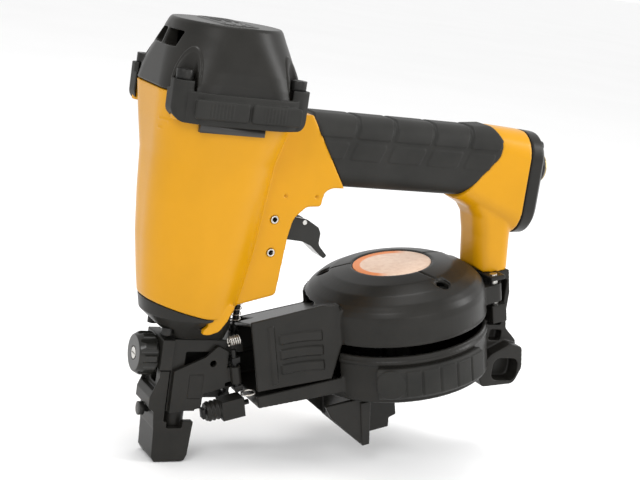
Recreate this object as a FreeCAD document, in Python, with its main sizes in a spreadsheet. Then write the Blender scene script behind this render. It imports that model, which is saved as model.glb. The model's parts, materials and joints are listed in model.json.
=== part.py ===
"""Pneumatic coil roofing nailer, built as separate pieces.

Frame: millimetres. The origin is the centre of the contact foot's face. +Z runs up the cylinder's
axis, +X points from the barrel towards the handle's end, and -Y is the side that the magazine opens to.
The magazine has a frame of its own, tilted about Y, with its origin at the top of the round cover.
"""
import FreeCAD, Part
import math
import os
import re
import Sketcher

V = FreeCAD.Vector
DOC = FreeCAD.newDocument("coil_nailer")
SHEET = DOC.addObject("Spreadsheet::Sheet", "Sizes")
PIECES = {}

# ---------------------------------------------------------------- driving dimensions

SIZES = {
    # barrel casting
    "seam_z": 223, "cap_z": 223.8, "cap_top_z": 262, "barrel_foot_z": 93,
    "shell_half": 42.5, "shell_corner": 27, "shell_mid": 2.5,
    "sleeve_in_r": 22, "sleeve_out_r": 25.6, "chamber_r": 29, "valve_chamber_r": 33.7, "shelf_z": 203,
    "fit_gap": 0.05, "free_gap": 0.4,
    "web_half": 17, "web_rear_x": 50.5, "web_foot_z": 98,
    "screw_x": 34.4, "screw_y": 34, "screw_r": 2.5, "screw_head_r": 4.7, "lug_r": 5, "boss_r": 7,
    "scallop_r": 7.6, "boss_top_z": 231, "screw_foot_z": 210.5,
    "bumper_half": 46.2, "bumper_end": 41, "bumper_foot_z": 208, "bumper_top_z": 225.5,
    # handle
    "grip_half": 17, "grip_foot_z": 172.5, "grip_top_z": 215.5, "grip_wall": 2.6,
    "grip_front_top_x": 58, "grip_front_foot_x": 85, "grip_rear_foot_x": 168, "grip_rear_top_x": 190,
    "rear_seam_x": 213, "cap_end_x": 225, "port_x": 232, "port_z": 193,
    "block_half": 19, "block_foot_z": 149.5, "block_top_z": 216.5,
    "post_front_x": 187, "post_half": 15, "post_foot_front_x": 191, "post_foot_z": 124,
    "port_r": 5.56, "port_length": 15, "port_ring_r": 9,
    # drive
    "piston_top_z": 212, "piston_height": 12, "blade_r": 3.4, "blade_tip_z": 76, "stroke": 75,
    "head_valve_foot_z": 214.4, "head_valve_height": 9.6, "head_valve_lift": 6, "exhaust_tube_r": 16,
    # trigger
    "trigger_pivot_x": 42, "trigger_pivot_z": 152, "lower_pin_x": 42.5, "lower_pin_z": 132,
    "pin_r": 2.4, "trigger_half": 7.6, "slot_half": 8.2, "stem_x": 63, "stem_r": 2.5,
    # nose
    "foot_height": 25, "foot_front_x": -14, "foot_rear_x": 9.8, "foot_half": 12.6, "nail_exit_r": 6,
    "core_half": 11.3, "core_foot_z": 31.2, "core_top_z": 76, "tip_r": 7.4, "tip_foot_z": 14,
    "column_front_x": -19.5, "column_rear_x": -9, "column_top_z": 56.5,
    "knob_z": 64, "knob_r": 13, "knob_rear_x": -16.4, "knob_depth": 12.2, "knob_shaft_r": 3,
    "bracket_front_x": -16.2, "bracket_foot_z": 57.5, "bracket_top_z": 76,
    "trip_x": 37, "trip_y": 8, "trip_rod_r": 2, "trip_top_z": 124,
    "door_front_x": -7, "door_face_y": 14.4, "door_back_y": 11.8, "door_hinge_x": 31.5, "door_hinge_y": 16,
    # magazine
    "mag_x": 134.7, "mag_z": 125.3, "mag_tilt": 13.75,
    "drum_r": 57.5, "drum_wall": 2.5, "drum_floor": -72, "drum_rim_near": -41.5, "drum_rim_far": -15,
    "cover_r": 58, "cover_edge": -34.9, "cover_rim": -14.5, "label_r": 25.1, "crown_r": 27,
    "neck_front": -108, "neck_half": 27, "neck_top": -8, "neck_far_top": -23, "neck_edge": -53,
    "neck_floor": -62,
    "cover_hinge_a": 62, "cover_hinge_y": 20, "cover_pin_r": 2.5,
    "platform_r": 47, "core_post_r": 6,
}


def fill_sheet():
    """Write every driving dimension to a cell that carries its name."""
    for row, (alias, value) in enumerate(SIZES.items(), start=1):
        SHEET.set(f"A{row}", alias)
        SHEET.set(f"B{row}", str(value))
        SHEET.setAlias(f"B{row}", alias)
    DOC.recompute()


def linked(text):
    """Turn "drum_r - 2" into the expression "Sizes.drum_r - 2"."""
    return re.sub(r"[a-z]\w*", lambda word: "Sizes." + word.group(0), str(text))


def number(text):
    """The value of a size, or of a sum of sizes."""
    return float(SHEET.evalExpression(linked(text)))


def bind(thing, **sizes):
    """Bind properties of a document object to sizes."""
    for name, text in sizes.items():
        thing.setExpression(name, linked(text))


def magazine_home():
    """The placement of everything that is laid out in the magazine's tilted frame."""
    turn = FreeCAD.Rotation(V(0, 1, 0), -number("mag_tilt"))
    return FreeCAD.Placement(V(number("mag_x"), 0, number("mag_z")), turn)


def keep(label, thing, home=None):
    """Name a finished piece, place it, and list it for export."""
    if home is not None and thing.TypeId in ("Part::Cylinder", "Part::Torus", "Part::Feature"):
        thing = group(thing)
    thing.Label = label
    if home is not None:
        thing.Placement = home
    PIECES[label] = thing
    return thing


# ---------------------------------------------------------------- sketches and PartDesign features

def rounded_box(low_x, high_x, low_y, high_y, corner):
    """The outline of a rectangle with round corners."""
    return [(low_x, low_y, corner), (high_x, low_y, corner), (high_x, high_y, corner),
            (low_x, high_y, corner)]


def rounded_square(half, corner, middle="0"):
    """The outline of a square with round corners, its centre on the X axis."""
    return rounded_box(f"{middle} - ({half})", f"{middle} + {half}", f"-({half})", half, corner)


def hold(sketch, kind, geometry, end, text):
    """Add a dimension from the sketch's origin to a point, bound to a size."""
    index = sketch.addConstraint(Sketcher.Constraint(kind, geometry, end, number(text)))
    sketch.setExpression(f"Constraints[{index}]", linked(text))


def hold_radius(sketch, geometry, text):
    index = sketch.addConstraint(Sketcher.Constraint("Radius", geometry, number(text)))
    sketch.setExpression(f"Constraints[{index}]", linked(text))


def draw_circle(sketch, middle_x, middle_y, radius):
    circle = Part.Circle(V(number(middle_x), number(middle_y), 0), V(0, 0, 1), number(radius))
    index = sketch.addGeometry(circle)
    hold(sketch, "DistanceX", index, 3, middle_x)
    hold(sketch, "DistanceY", index, 3, middle_y)
    hold_radius(sketch, index, radius)


def draw_outline(sketch, corners):
    """Draw a closed outline. A corner is (x, y), or (x, y, radius) where it is rounded."""
    spots = [V(number(c[0]), number(c[1]), 0) for c in corners]
    count = len(spots)
    starts, ends = [], []
    for i, corner in enumerate(corners):
        before = (spots[i - 1] - spots[i]).normalize()
        after = (spots[(i + 1) % count] - spots[i]).normalize()
        back = 0.0
        if len(corner) == 3:
            back = number(corner[2]) / math.tan(before.getAngle(after) / 2)
        ends.append(spots[i] + before * back)
        starts.append(spots[i] + after * back)
    lines = []
    for i in range(count):
        lines.append(sketch.addGeometry(Part.LineSegment(starts[i], ends[(i + 1) % count])))
    for i, corner in enumerate(corners):
        line_in, line_out = lines[i - 1], lines[i]
        if len(corner) == 2:
            sketch.addConstraint(Sketcher.Constraint("Coincident", line_in, 2, line_out, 1))
            hold(sketch, "DistanceX", line_out, 1, corner[0])
            hold(sketch, "DistanceY", line_out, 1, corner[1])
            continue
        bisector = (ends[i] + starts[i]) * 0.5 - spots[i]
        radius = number(corner[2])
        half_angle = (ends[i] - spots[i]).getAngle(bisector)
        centre = spots[i] + bisector.normalize() * (radius / math.sin(half_angle))
        angle_in = math.atan2(ends[i].y - centre.y, ends[i].x - centre.x)
        angle_out = math.atan2(starts[i].y - centre.y, starts[i].x - centre.x)
        first, last = 1, 2
        if (angle_out - angle_in) % math.tau > math.pi:
            angle_in, angle_out, first, last = angle_out, angle_in, 2, 1
        sweep = (angle_out - angle_in) % math.tau
        circle = Part.Circle(centre, V(0, 0, 1), radius)
        arc = sketch.addGeometry(Part.ArcOfCircle(circle, angle_in, angle_in + sweep))
        sketch.addConstraint(Sketcher.Constraint("Tangent", line_in, 2, arc, first))
        sketch.addConstraint(Sketcher.Constraint("Tangent", arc, last, line_out, 1))
        hold_radius(sketch, arc, corner[2])
        point = sketch.addGeometry(Part.Point(spots[i]), True)
        sketch.addConstraint(Sketcher.Constraint("PointOnObject", point, 1, line_in))
        sketch.addConstraint(Sketcher.Constraint("PointOnObject", point, 1, line_out))
        hold(sketch, "DistanceX", point, 1, corner[0])
        hold(sketch, "DistanceY", point, 1, corner[1])


def sketch_on(body, plane, loops, offset="0"):
    """A sketch on one of the body's own planes, moved along its normal. XZ faces -Y."""
    sketch = body.newObject("Sketcher::SketchObject", "sketch")
    support = [item for item in body.Origin.OriginFeatures if item.Role == plane + "_Plane"][0]
    sketch.AttachmentSupport = [(support, "")]
    sketch.MapMode = "FlatFace"
    bind(sketch, **{"AttachmentOffset.Base.z": offset})
    for loop in loops:
        if loop[0] == "circle":
            draw_circle(sketch, *loop[1:])
        else:
            draw_outline(sketch, loop)
    return sketch


def pad(body, plane, loops, thick, offset="0"):
    """Add a slab, centred on the sketch plane."""
    feature = body.newObject("PartDesign::Pad", "pad")
    feature.Profile = sketch_on(body, plane, loops, offset)
    feature.SideType = "Symmetric"
    bind(feature, Length=thick)
    return feature


def pocket(body, plane, loops, deep, offset="0"):
    """Cut a slab away, centred on the sketch plane."""
    feature = body.newObject("PartDesign::Pocket", "pocket")
    feature.Profile = sketch_on(body, plane, loops, offset)
    feature.SideType = "Symmetric"
    bind(feature, Length=deep)
    return feature


def revolve(body, outline, angle=360, backwards=False, kind="Revolution"):
    """Turn an outline of (radius, height) about the body's Z axis."""
    sketch = sketch_on(body, "XZ", [outline])
    feature = body.newObject("PartDesign::" + kind, kind.lower())
    feature.Profile = sketch
    feature.ReferenceAxis = (sketch, ["V_Axis"])
    feature.Angle = angle
    feature.Reversed = backwards
    return feature


def loft(body, plane, sections):
    """Add a loft through (offset, outline) sections."""
    sketches = [sketch_on(body, plane, [outline], offset) for offset, outline in sections]
    feature = body.newObject("PartDesign::AdditiveLoft", "loft")
    feature.Profile = sketches[0]
    feature.Sections = sketches[1:]
    feature.Ruled = True
    return feature


def new_body(label, home=None):
    return keep(label, DOC.addObject("PartDesign::Body", label), home)


# ---------------------------------------------------------------- Part primitives and booleans

AXIS_TURNS = {
    "X": FreeCAD.Rotation(V(0, 1, 0), 90),
    "Y": FreeCAD.Rotation(V(1, 0, 0), -90),
    "Z": FreeCAD.Rotation(),
}


def put(thing, at, axis="Z"):
    """Place a primitive, its own Z axis turned to the named axis, its base bound to sizes."""
    thing.Placement = FreeCAD.Placement(V(*[number(text) for text in at]), AXIS_TURNS[axis])
    for letter, text in zip("xyz", at):
        thing.setExpression("Placement.Base." + letter, linked(text))
    return thing


def rod(radius, length, at, axis="Z"):
    thing = DOC.addObject("Part::Cylinder", "rod")
    bind(thing, Radius=radius, Height=length)
    return put(thing, at, axis)


def ring(ring_radius, wire_radius, at, axis="Z"):
    thing = DOC.addObject("Part::Torus", "ring")
    bind(thing, Radius1=ring_radius, Radius2=wire_radius)
    return put(thing, at, axis)


def block(low, high):
    """A box between two corners."""
    thing = DOC.addObject("Part::Box", "block")
    spans = [f"({top}) - ({foot})" for foot, top in zip(low, high)]
    bind(thing, Length=spans[0], Width=spans[1], Height=spans[2])
    return put(thing, low)


def hexagon(radius, length, at, axis="Z"):
    thing = DOC.addObject("Part::Prism", "hexagon")
    thing.Polygon = 6
    bind(thing, Circumradius=radius, Height=length)
    return put(thing, at, axis)


def join(*things):
    fused = DOC.addObject("Part::MultiFuse", "join")
    fused.Shapes = list(things)
    return fused


def cut(base, *tools):
    result = DOC.addObject("Part::Cut", "cut")
    result.Base = base
    result.Tool = tools[0] if len(tools) == 1 else join(*tools)
    return result


def group(*things):
    together = DOC.addObject("Part::Compound", "group")
    together.Links = list(things)
    return together


def coil(label, radius, wire, foot, top, turns, at_x="0", at_y="0", axis="Z", home=None):
    """A round-wire compression spring between two heights, swept along a helix."""
    low, high = number(foot), number(top)
    wire_r = number(wire)
    pitch = (high - low - 2 * wire_r) / turns
    helix = Part.makeHelix(pitch, pitch * turns, number(radius))
    section = Part.Wire([Part.makeCircle(wire_r, V(number(radius), 0, 0), V(0, 1, 0))])
    shape = Part.Wire(helix.Edges).makePipeShell([section], True, True)
    thing = DOC.addObject("Part::Feature", label)
    thing.Shape = shape
    base = V(number(at_x), number(at_y), low + wire_r)
    if axis == "X":
        base = V(low + wire_r, number(at_y), number(at_x))
    thing.Placement = FreeCAD.Placement(base, AXIS_TURNS[axis])
    return keep(label, thing, home)


# ---------------------------------------------------------------- barrel casting with its handle

BARREL_LEVELS = (
    # height, half width, corner radius, middle
    ("barrel_foot_z", "28.4", "27.8", "0"),
    ("110", "31", "29", "0"),
    ("135", "34", "30", "0"),
    ("160", "35.8", "30", "0.3"),
    ("185", "37.2", "29.5", "1"),
    ("205", "40.4", "28.5", "2"),
    ("seam_z", "shell_half", "shell_corner", "shell_mid"),
)

WEB_OUTLINE = [
    ("0", "web_foot_z + 2"), ("22", "web_foot_z"), ("49.6", "106", "3"), ("52.4", "142", "20"),
    ("54.5", "153", "8"),
    ("62", "160.5", "5"), ("71.2", "161.3", "1.5"), ("72.5", "170.5", "5"), ("78", "grip_foot_z + 0.4", "6"),
    ("grip_front_foot_x", "grip_foot_z + 0.6"), ("grip_front_top_x", "grip_top_z"), ("0", "grip_top_z - 3"),
]


def housing_core(shrink):
    """The handle's core outline, seen along the handle."""
    side = f"grip_half - grip_wall - {shrink}"
    low = f"grip_foot_z + grip_wall + {shrink}"
    high = f"grip_top_z - grip_wall - {shrink}"
    return rounded_box(f"-({side})", side, low, high, "7")


def end_section(low, high, half, corner):
    return rounded_box(f"-({half})", half, low, high, corner)


SCREW_COLUMNS = ("shell_mid + screw_x", "shell_mid - screw_x")


def make_housing(grip):
    """One casting: barrel, web behind it, hollow handle, end block and the post down to the magazine."""
    body = DOC.addObject("PartDesign::Body", "casting")
    loft(body, "XY", [(height, rounded_square(half, corner, middle)) for height, half, corner,
                      middle in BARREL_LEVELS])
    pad(body, "XZ", [WEB_OUTLINE], "web_half * 2")
    pad(body, "YZ", [housing_core("0")], "125", "117.5")
    loft(body, "YZ", [
        ("grip_rear_foot_x - 6", end_section("grip_foot_z + 0.5", "grip_top_z", "grip_half - 0.4", "11")),
        ("190", end_section("160", "grip_top_z + 2", "grip_half + 1.2", "14")),
        ("rear_seam_x", end_section("block_foot_z", "block_top_z", "block_half", "17")),
    ])
    loft(body, "XY", [
        ("post_foot_z - 2", rounded_box("post_foot_front_x", "rear_seam_x + 2", "-post_half", "post_half",
                                        "8")),
        ("147", rounded_box("post_front_x", "rear_seam_x", "-post_half", "post_half", "9")),
        ("160", rounded_box("post_front_x - 3.5", "rear_seam_x - 1", "-post_half", "post_half", "9")),
        ("168", rounded_box("post_front_x - 10", "rear_seam_x - 1", "-post_half", "post_half", "9")),
        ("176", rounded_box("post_front_x - 20", "rear_seam_x - 1", "-post_half", "post_half", "9")),
    ])
    for side in ("23.4", "-23.4"):
        pad(body, "XZ", [TONGUE], "4.4", side)
    for side_x in SCREW_COLUMNS:
        for side_y in ("screw_y", "-screw_y"):
            pad(body, "XY", [[("circle"), side_x, side_y, "lug_r"]], "seam_z - 209", "(seam_z + 209) / 2")
    hollow_housing(body)
    return keep("housing", cut(body, grip))


TONGUE = [("2.5", "101"), ("21", "101"), ("17.5", "91.5"), ("13", "85", "3"), ("7", "82.7"),
          ("-0.5", "82.7"),
          ("5.8", "88.2")]


def hollow_housing(body):
    """The cylinder's chambers, the handle's air space, the trigger slot and every hole."""
    revolve(body, [
        ("0", "barrel_foot_z"), ("sleeve_out_r + 0.1", "barrel_foot_z"), ("sleeve_out_r + 0.1", "118"),
        ("chamber_r", "122"),
        ("chamber_r", "shelf_z"), ("valve_chamber_r", "shelf_z"), ("valve_chamber_r", "seam_z + 5"),
        ("0", "seam_z + 5"),
    ], kind="Groove")
    pocket(body, "XZ", [[("3", "barrel_foot_z"), ("-50", "104.5"), ("-50", "80"), ("3", "80")]], "90")
    pocket(body, "YZ", [housing_core("3")], "rear_seam_x - 30", "(rear_seam_x + 32) / 2")
    pocket(body, "XZ", [[("35.5", "127"), ("75", "127"), ("75", "155"), ("58", "162"), ("38", "162")]],
           "slot_half * 2")
    pocket(body, "XY", [[("circle"), "stem_x", "0", "stem_r + 3.4"]], "8", "159")
    pocket(body, "XZ", [[("33.5", "86"), ("40.5", "86"), ("40.5", "131"), ("33.5", "131")]], "8", "-trip_y")
    pocket(body, "XY", [[("circle"), "stem_x", "0", "7.1"]], "30", "170")
    for pin_x, pin_z in (("trigger_pivot_x", "trigger_pivot_z"), ("lower_pin_x", "lower_pin_z")):
        pocket(body, "XZ", [[("circle"), pin_x, pin_z, "pin_r + 0.05"]], "60")
    for side_x in SCREW_COLUMNS:
        for side_y in ("screw_y", "-screw_y"):
            pocket(body, "XY", [[("circle"), side_x, side_y, "screw_r + 0.05"]], "40", "seam_z")
    pocket(body, "XZ", [[("150", "145"), ("178", "133.4"), ("195", "124.4"),
                         ("rear_seam_x + 5", "127.6"), ("rear_seam_x + 5", "110"),
                         ("150", "110")]], "60")
    return body


# ---------------------------------------------------------------- cap and side bumpers

def make_cap():
    """The black top cap, with the exhaust window in front and an arch over each screw."""
    body = new_body("top_cap")
    loft(body, "XY", [
        ("cap_z", rounded_square("shell_half", "shell_corner", "shell_mid")),
        ("230", rounded_square("41.6", "27.6", "shell_mid")),
        ("237", rounded_square("40.2", "28.8", "shell_mid")),
        ("243", rounded_square("38.5", "30", "shell_mid")),
        ("249", rounded_square("36.6", "31", "shell_mid")),
        ("255", rounded_square("34.6", "32", "shell_mid")),
        ("260.5", rounded_square("32.6", "31.8", "shell_mid")),
        ("cap_top_z", rounded_square("31.4", "30.8", "shell_mid")),
    ])
    revolve(body, [
        ("0", "cap_z - 2"), ("valve_chamber_r", "cap_z - 2"), ("valve_chamber_r", "240"),
        ("26", "241"), ("26", "257"), ("0", "257"),
    ], kind="Groove")
    revolve(body, [
        ("exhaust_tube_r - 3.5", "217.5"), ("exhaust_tube_r", "217.5"), ("exhaust_tube_r", "240"),
        ("27", "240"), ("27", "243"), ("exhaust_tube_r - 3.5", "243"),
    ])
    pocket(body, "YZ", [rounded_box("-17", "-1.2", "246.5", "255.5", "1.5"),
                        rounded_box("1.2", "17", "246.5", "255.5", "1.5")], "26", "-33")
    for side_x in SCREW_COLUMNS:
        for side_y in ("screw_y", "-screw_y"):
            pocket(body, "XY", [[("circle"), side_x, side_y, "scallop_r"]], "60", "250")
    return body


def make_cap_gasket():
    """Sealing gasket between the casting and the cap."""
    body = new_body("cap_gasket")
    pad(body, "XY", [rounded_square("shell_half - 2", "shell_corner", "shell_mid"),
                     [("circle"), "0", "0", "valve_chamber_r + 0.3"]],
        "cap_z - seam_z", "(cap_z + seam_z) / 2")
    for side_x in SCREW_COLUMNS:
        for side_y in ("screw_y", "-screw_y"):
            pocket(body, "XY", [[("circle"), side_x, side_y, "scallop_r + 1.6"]], "10", "seam_z")
    return body


def make_cap_screws():
    """Four socket-head screws that hold the cap and the bumpers."""
    screws = []
    for side_x in SCREW_COLUMNS:
        for side_y in ("screw_y", "-screw_y"):
            shank = rod("screw_r", "boss_top_z - screw_foot_z", (side_x, side_y, "screw_foot_z"))
            head = rod("screw_head_r", "5.5", (side_x, side_y, "boss_top_z"))
            socket = hexagon("2.4", "4", (side_x, side_y, "boss_top_z + 2.5"))
            screws.append(cut(join(shank, head), socket))
    keep("cap_screws", group(*screws))


def make_bumpers():
    """Rubber bumpers on both sides of the cap seam, their end bosses under the cap screws."""
    for label, sign in (("near_bumper", "-"), ("far_bumper", "")):
        body = new_body(label)
        middle = "(bumper_top_z + bumper_foot_z) / 2"
        pad(body, "XY", [rounded_square("bumper_half", "shell_corner + 3", "shell_mid")],
            "bumper_top_z - bumper_foot_z", middle)
        for side_x in SCREW_COLUMNS:
            pad(body, "XY", [[("circle"), side_x, sign + "screw_y", "boss_r"]],
                "boss_top_z - bumper_foot_z", "(boss_top_z + bumper_foot_z) / 2")
        pocket(body, "XY", [rounded_square("shell_half + 0.15", "shell_corner", "shell_mid")], "60", "223")
        keep_low, keep_high = ("-60", "-27") if sign else ("27", "60")
        drop_low, drop_high = ("-27", "60") if sign else ("-60", "27")
        pocket(body, "XY", [rounded_box("-60", "60", drop_low, drop_high, "1")], "80", "223")
        for end, away in (("bumper_end", "60"), ("-bumper_end", "-60")):
            pocket(body, "XZ", [[(f"shell_mid + {end}", "190"), (f"shell_mid + {away}", "190"),
                                 (f"shell_mid + {away}", "240"), (f"shell_mid + {end}", "240")]], "160")
            corner = (f"shell_mid + {end}", "bumper_foot_z", "8")
            inner = f"shell_mid + {end} * 0.6"
            pocket(body, "XZ", [[(inner, "190"), (f"shell_mid + {away}", "190"),
                                 (f"shell_mid + {away}", "222"),
                                 (f"shell_mid + {end}", "222"), corner, (inner, "bumper_foot_z")]], "160")
        for side_x in SCREW_COLUMNS:
            spot = [[("circle"), side_x, sign + "screw_y", "screw_r + 0.2"]]
            pocket(body, "XY", spot, "30", "232")
            lug = [[("circle"), side_x, sign + "screw_y", "lug_r + 0.05"]]
            pocket(body, "XY", lug, "seam_z - 200", "(seam_z + 200) / 2 + 0.1")
        for low_x, high_x in (("-28", "4"), ("5.5", "36")):
            face = "bumper_half + 0.3" if sign else "-bumper_half - 0.3"
            pad(body, "XZ", [rounded_box(low_x, high_x, "211.5", "222", "2")], "1.8", face)


def make_name_plates(housing):
    """A small blank plate under each bumper."""
    near = block(("-22", "-42.3", "203.5"), ("17", "-39", "208"))
    far = block(("-22", "39", "203.5"), ("17", "42.3", "208"))
    keep("side_plates", cut(join(near, far), housing))


# ---------------------------------------------------------------- cylinder, piston and head valve

def make_cylinder():
    """Aluminium sleeve with its seating flange and return-air holes."""
    body = new_body("cylinder_sleeve")
    revolve(body, [
        ("sleeve_in_r", "barrel_foot_z + 0.3"), ("sleeve_out_r", "barrel_foot_z + 0.3"),
        ("sleeve_out_r", "shelf_z"),
        ("valve_chamber_r - 0.1", "shelf_z"), ("valve_chamber_r - 0.1", "shelf_z + 4"),
        ("sleeve_out_r + 1", "shelf_z + 5"), ("sleeve_out_r + 1", "214"), ("sleeve_in_r", "214"),
    ])
    pocket(body, "YZ", [[("circle"), "0", "130", "1.5"]], "80")
    pocket(body, "XZ", [[("circle"), "0", "130", "1.5"]], "80")


def make_drive():
    """Piston, its ring, the driver blade, and the rubber that stops them."""
    piston = new_body("piston")
    foot, top = "piston_top_z - piston_height", "piston_top_z"
    revolve(piston, [
        ("0", foot), ("sleeve_in_r - fit_gap", foot), ("sleeve_in_r - fit_gap", foot + " + 3.5"),
        ("sleeve_in_r - 2.5", foot + " + 3.5"), ("sleeve_in_r - 2.5", foot + " + 7.5"),
        ("sleeve_in_r - fit_gap", foot + " + 7.5"), ("sleeve_in_r - fit_gap", top),
        ("12", top), ("10", top + " - 3"), ("0", top + " - 3"),
    ])
    keep("piston_ring", ring("sleeve_in_r - 1.6", "1.5", ("0", "0", foot + " + 5.5")))
    keep("driver_blade", rod("blade_r", foot + " - blade_tip_z", ("0", "0", "blade_tip_z")))
    stop = new_body("piston_bumper")
    revolve(stop, [
        ("blade_r + 1", "barrel_foot_z + 0.3"), ("sleeve_in_r - 0.2", "barrel_foot_z + 0.3"),
        ("sleeve_in_r - 0.2", "108"), ("17", "118"), ("10", "118"), ("blade_r + 1", "112"),
    ])


def make_head_valve():
    """The ring that opens the cylinder when it lifts, its spring and its seal."""
    foot, top = "head_valve_foot_z", "head_valve_foot_z + head_valve_height"
    valve = new_body("head_valve")
    revolve(valve, [
        ("exhaust_tube_r + fit_gap", foot + " + 4"), ("sleeve_in_r + 1", foot + " + 4"),
        ("sleeve_in_r + 1", foot), ("valve_chamber_r - fit_gap", foot),
        ("valve_chamber_r - fit_gap", top), ("exhaust_tube_r + fit_gap", top),
    ])
    seal = new_body("head_valve_seal")
    revolve(seal, [
        ("exhaust_tube_r + 1.2", foot + " + 1"), ("sleeve_in_r + 0.9", foot + " + 1"),
        ("sleeve_in_r + 0.9", foot + " + 4"), ("exhaust_tube_r + 1.2", foot + " + 4"),
    ])
    coil("head_valve_spring", "24", "0.9", top, "239.9", 3)


# ---------------------------------------------------------------- handle grip and end cap

def grip_outline(grow):
    return rounded_box(f"-(grip_half + {grow})", f"grip_half + {grow}", f"grip_foot_z - {grow}",
                       f"grip_top_z + {grow}", "12")


def make_sleeve(body, grow):
    """Sleeve over the handle's core; its ends run on a slant and on a curve."""
    loft(body, "YZ", [
        ("grip_front_top_x - 15", grip_outline(f"{grow}")),
        ("grip_rear_foot_x", grip_outline(f"{grow}")),
        ("grip_rear_top_x + 4", grip_outline(f"{grow} + 2.2")),
    ])
    pocket(body, "YZ", [housing_core("0")], "200", "122")
    pocket(body, "XZ", [[("30", "grip_top_z + 8"), ("30", "grip_foot_z - 8"),
                         ("grip_front_foot_x + 5.8", "grip_foot_z - 8"),
                         ("grip_front_top_x - 5", "grip_top_z + 8")]], "60")
    pocket(body, "XZ", [[("grip_rear_foot_x - 3", "grip_foot_z - 8"),
                         ("grip_rear_foot_x + 2", "grip_foot_z + 2", "6"), ("180", "188", "30"),
                         ("grip_rear_top_x", "200", "8"), ("grip_rear_top_x + 1", "208", "6"),
                         ("178", "grip_top_z + 12"), ("230", "grip_top_z + 12"),
                         ("230", "grip_foot_z - 8")]], "60")
    return body


def make_grip():
    """Rubber sleeve of the handle, and the room that the casting leaves for it."""
    make_sleeve(new_body("handle_grip"), "0")
    return make_sleeve(DOC.addObject("PartDesign::Body", "grip_room"), "3")


def make_end_cap():
    """End cap with the threaded air inlet, its seal, its bushing and its screws."""
    seal = new_body("end_cap_seal")
    pad(seal, "YZ", [end_section("block_foot_z + 1", "block_top_z - 1", "block_half - 1", "16"),
                     end_section("block_foot_z + 5", "block_top_z - 5", "block_half - 5", "12")],
        "0.8", "rear_seam_x + 0.4")
    body = new_body("end_cap")
    loft(body, "YZ", [
        ("rear_seam_x + 0.8", end_section("block_foot_z", "block_top_z", "block_half", "17")),
        ("cap_end_x - 3", end_section("block_foot_z + 0.5", "block_top_z - 0.5", "block_half - 0.4", "17")),
        ("cap_end_x", end_section("block_foot_z + 3.5", "block_top_z - 3.5", "block_half - 3.4", "15")),
    ])
    pad(body, "YZ", [[("circle"), "0", "port_z", "port_ring_r + 3"]], "5", "cap_end_x + 2")
    pad(body, "YZ", [[("circle"), "0", "port_z", "port_ring_r + 1.5"]], "8", "cap_end_x + 2")
    pocket(body, "YZ", [[("circle"), "0", "port_z", "port_ring_r - 1"]], "60", "cap_end_x")
    for spot_y, spot_z in END_SCREWS:
        pocket(body, "YZ", [[("circle"), spot_y, spot_z, "3.6"]], "6", "cap_end_x")
        pocket(body, "YZ", [[("circle"), spot_y, spot_z, "1.9"]], "40", "cap_end_x")
    outer = rod("port_ring_r - 1.05", "port_x - rear_seam_x - 2", ("rear_seam_x + 2", "0", "port_z"), "X")
    bore = rod("port_r", "40", ("rear_seam_x - 5", "0", "port_z"), "X")
    lip = cut(rod("port_ring_r + 0.6", "1.2", ("cap_end_x + 6", "0", "port_z"), "X"), bore)
    keep("air_inlet", join(cut(outer, bore), lip))
    screws = []
    for spot_y, spot_z in END_SCREWS:
        head = rod("3.4", "2.6", ("cap_end_x - 2.9", spot_y, spot_z), "X")
        shank = rod("1.8", "7", ("cap_end_x - 9.8", spot_y, spot_z), "X")
        socket = hexagon("1.7", "2", ("cap_end_x - 1.9", spot_y, spot_z), "X")
        screws.append(cut(join(head, shank), socket))
    keep("end_cap_screws", group(*screws))


END_SCREWS = (("9.5", "208"), ("-9.5", "208"), ("9.5", "160"), ("-9.5", "160"))


# ---------------------------------------------------------------- trigger and its valve

def make_trigger():
    """Finger trigger with its curved lever, the roll pins and the air valve that it opens."""
    body = new_body("trigger")
    pad(body, "XZ", [[
        ("37.5", "153.5", "3"), ("40", "147", "2"), ("53", "138.5", "5"), ("66.8", "137.4", "8"),
        ("73.1", "134.9", "6"),
        ("78.8", "130.2", "3"), ("82.6", "127.4", "0.9"), ("84.8", "129.3", "0.9"), ("77.9", "136", "5"),
        ("78.4", "143", "3"), ("76.5", "146.6", "2"), ("68.6", "151", "4"), ("58", "152.5", "8"),
        ("44", "157", "3"),
    ]], "trigger_half * 2")
    pocket(body, "XZ", [[("52.5", "146"), ("71", "144.5"), ("74", "160"), ("52.5", "160")]], "7")
    pocket(body, "XZ", [[("circle"), "trigger_pivot_x", "trigger_pivot_z", "pin_r + fit_gap"]], "40")
    pocket(body, "XZ", [[("circle"), "67", "149.2", "1.55"]], "40")
    for label, pin_x, pin_z in (("trigger_pin", "trigger_pivot_x", "trigger_pivot_z"),
                                ("retaining_pin", "lower_pin_x", "lower_pin_z")):
        outer = rod("pin_r", "web_half * 2 + 1", (pin_x, "-web_half - 0.5", pin_z), "Y")
        inner = rod("pin_r - 0.9", "web_half * 2 + 3", (pin_x, "-web_half - 1.5", pin_z), "Y")
        keep(label, cut(outer, inner))
    keep("trigger_bridge", rod("1.5", "trigger_half * 2 - 1", ("67", "-trigger_half + 0.5", "149.2"), "Y"))
    valve = new_body("trigger_valve")
    revolve(valve, [("stem_r + fit_gap", "161"), ("7", "161"), ("7", "178"), ("stem_r + fit_gap", "178")])
    valve.Placement = FreeCAD.Placement(V(number("stem_x"), 0, 0), FreeCAD.Rotation())
    stem = join(rod("stem_r", "28", ("stem_x", "0", "154.2")), rod("5.5", "2.5", ("stem_x", "0", "182.2")))
    keep("valve_stem", stem)


# ---------------------------------------------------------------- nose

NOSE_CORE = [
    ("-8.3", "core_foot_z"), ("10", "core_foot_z"), ("14", "43"), ("31", "46"), ("41.3", "49.8"),
    ("35.1", "core_top_z"), ("-8.3", "core_top_z"),
]


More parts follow.
